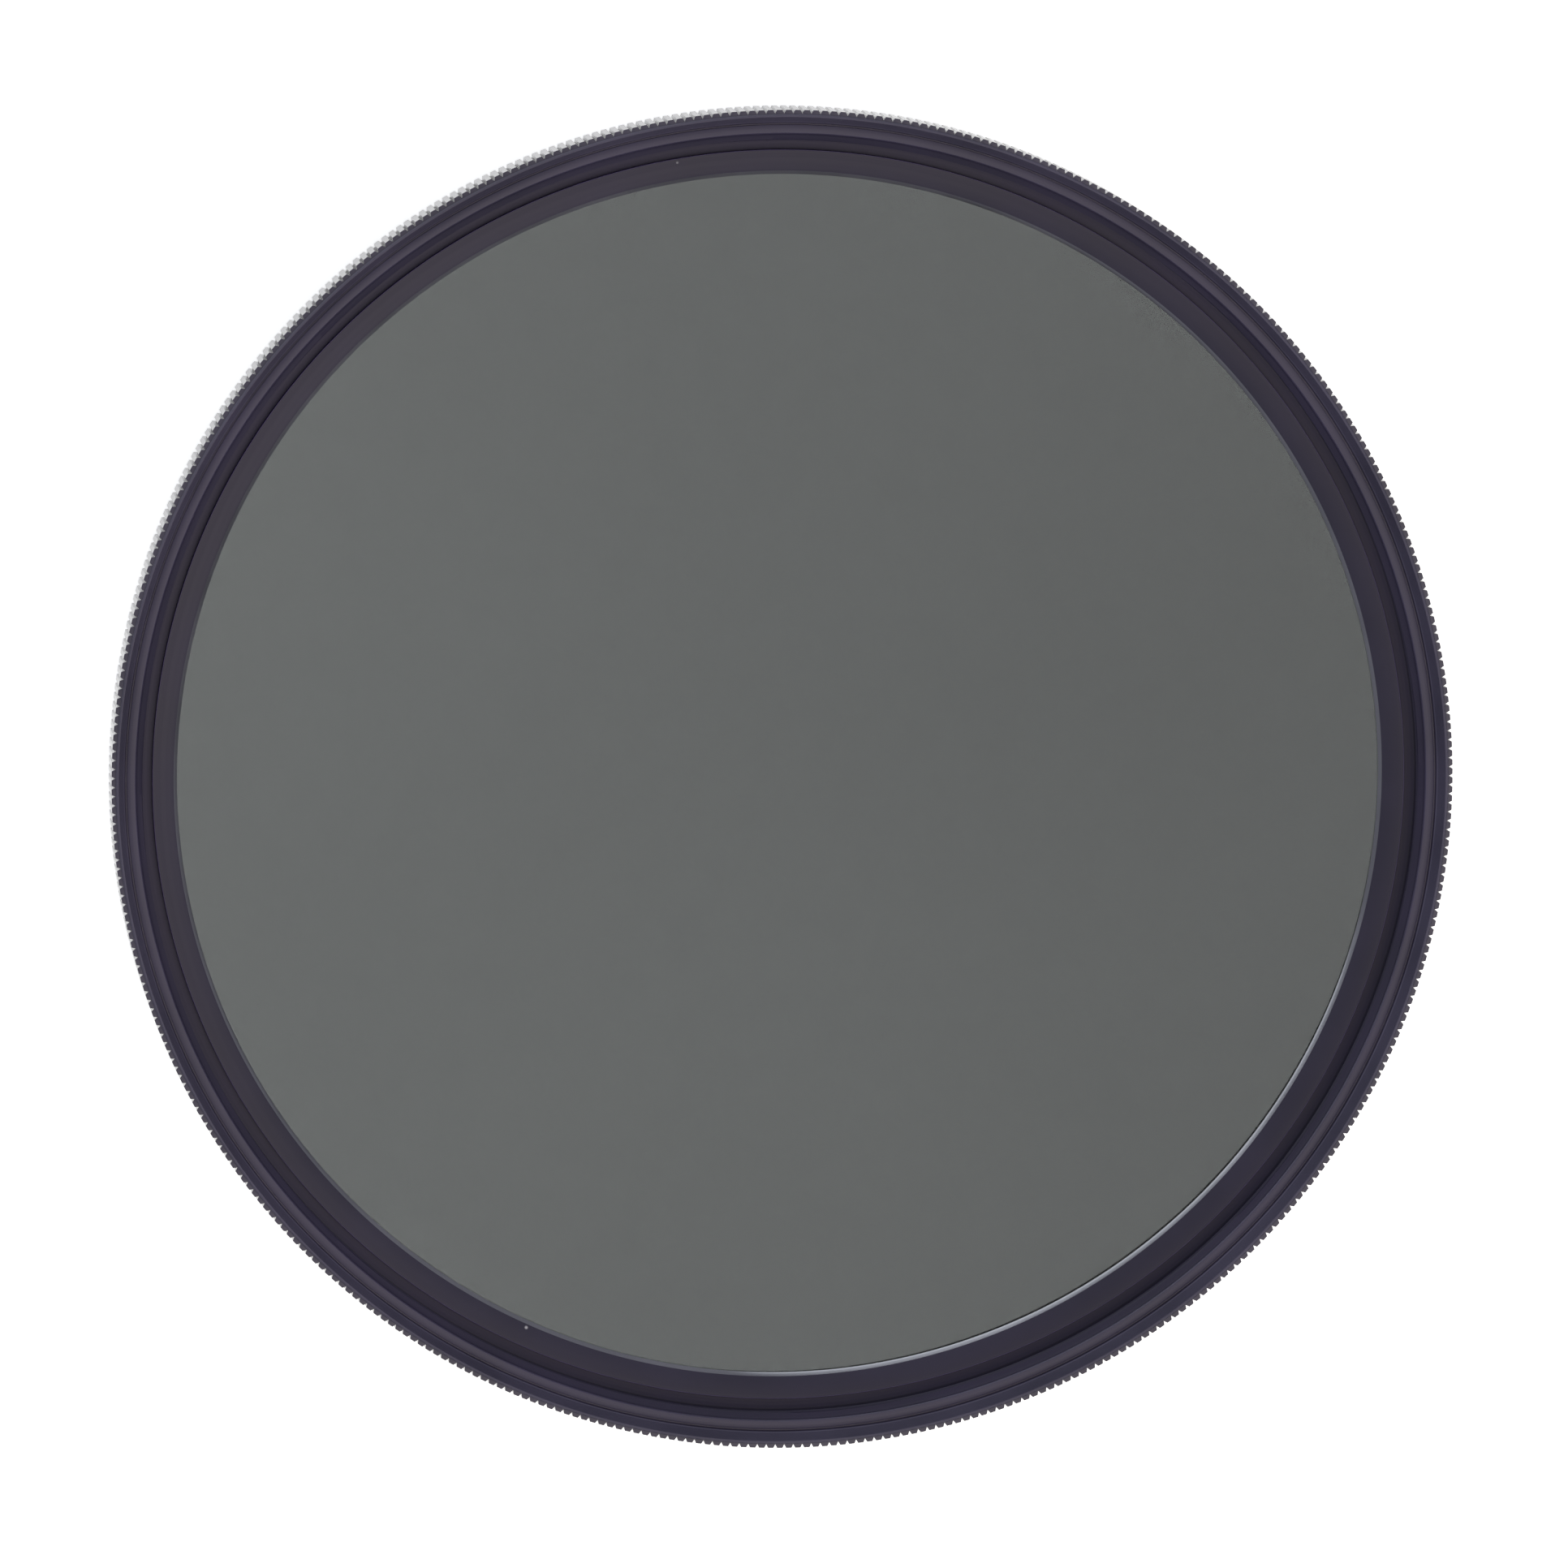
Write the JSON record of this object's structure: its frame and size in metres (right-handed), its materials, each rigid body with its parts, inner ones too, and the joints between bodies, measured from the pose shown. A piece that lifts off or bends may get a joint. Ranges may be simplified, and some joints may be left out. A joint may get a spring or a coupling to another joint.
{
  "type": "circular polarizing filter",
  "caption": "Round screw-in polarizing filter for a camera lens: dark glass in a thin black metal frame whose knurled front ring turns on the threaded rear ring.",
  "frame": {"origin": "middle of the male thread's rear end, on the surface that the filter lies on", "axes": "+Z along the optical axis, out of the front; X and Y are alike, because the filter is round"},
  "size_m": [0.08, 0.08, 0.008],
  "materials": {
    "anodised_aluminium": "satin",
    "filter_glass": "gloss",
    "polarizing_sheet": "gloss",
    "retarder_sheet": "gloss",
    "spring_steel": "satin"
  },
  "bodies": {
    "root": {"rear_ring": "anodised_aluminium"},
    "turning_ring": {"front_ring": "anodised_aluminium", "retaining_ring": "anodised_aluminium", "front_glass": "filter_glass", "polarizing_film": "polarizing_sheet", "quarter_wave_film": "retarder_sheet", "rear_glass": "filter_glass", "snap_wire": "spring_steel"}
  },
  "joints": [
    {"name": "polarizer_turn", "type": "hinge", "parent": "root", "child": "turning_ring", "pos_m": [0, 0, 0.0024], "axis": [0, 0, 1], "continuous": true}
  ]
}
